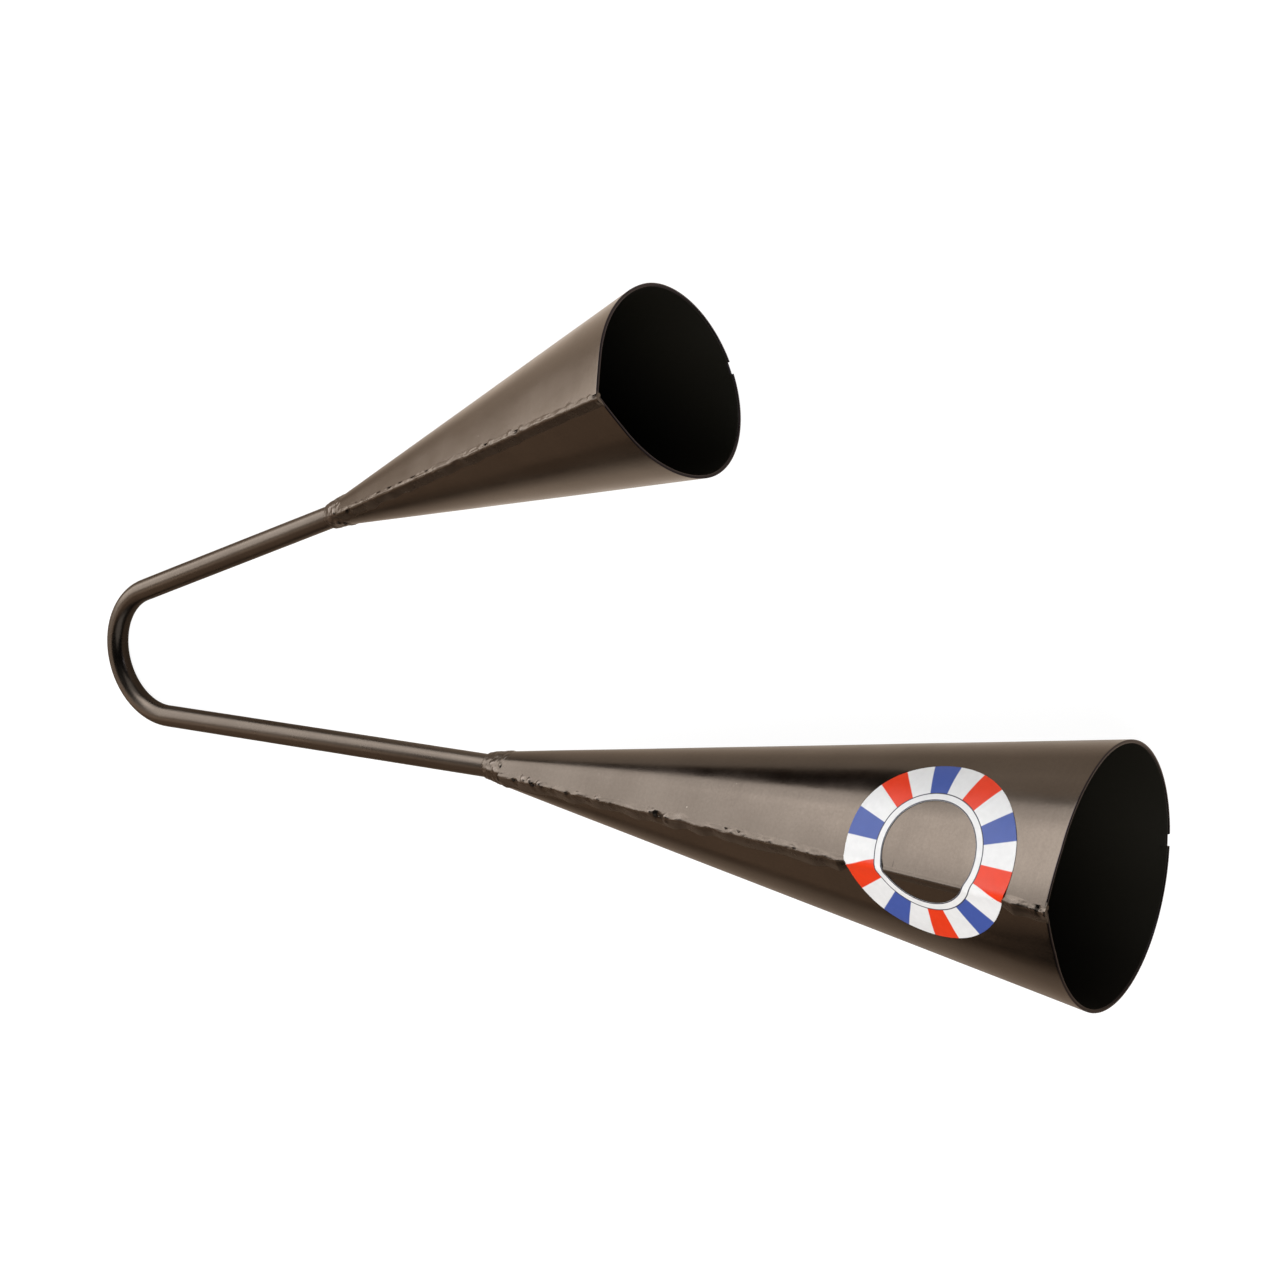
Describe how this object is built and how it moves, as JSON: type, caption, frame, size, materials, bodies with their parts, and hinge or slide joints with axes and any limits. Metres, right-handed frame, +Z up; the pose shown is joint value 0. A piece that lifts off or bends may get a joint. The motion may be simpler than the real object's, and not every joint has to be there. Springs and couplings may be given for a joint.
{
  "type": "agogo bell",
  "caption": "Hand-held agogo bell: rolled sheet-steel cones of different pitch, each closed by a weld seam and welded at its neck to a bent round-bar handle; struck with a stick.",
  "frame": {"origin": "under the middle of the whole, on the table that it lies on", "axes": "+X along the middle of the handle, from the bend towards the mouths; +Y towards the small bell; +Z up, the way both seams face"},
  "size_m": [0.4016, 0.2308, 0.0872],
  "materials": {
    "painted_bar": "satin brown-black baked paint on round steel bar",
    "painted_sheet": "satin brown-black baked paint on sheet steel, with fine scuffs",
    "painted_weld": "the same paint over lumpy weld metal",
    "label_print": "printed self-adhesive film"
  },
  "bodies": {
    "root": {"handle_bar": "painted_bar", "large_bell": "painted_sheet", "small_bell": "painted_sheet", "large_seam_weld": "painted_weld", "small_seam_weld": "painted_weld", "large_neck_weld": "painted_weld", "small_neck_weld": "painted_weld", "label": "label_print"}
  },
  "joints": []
}
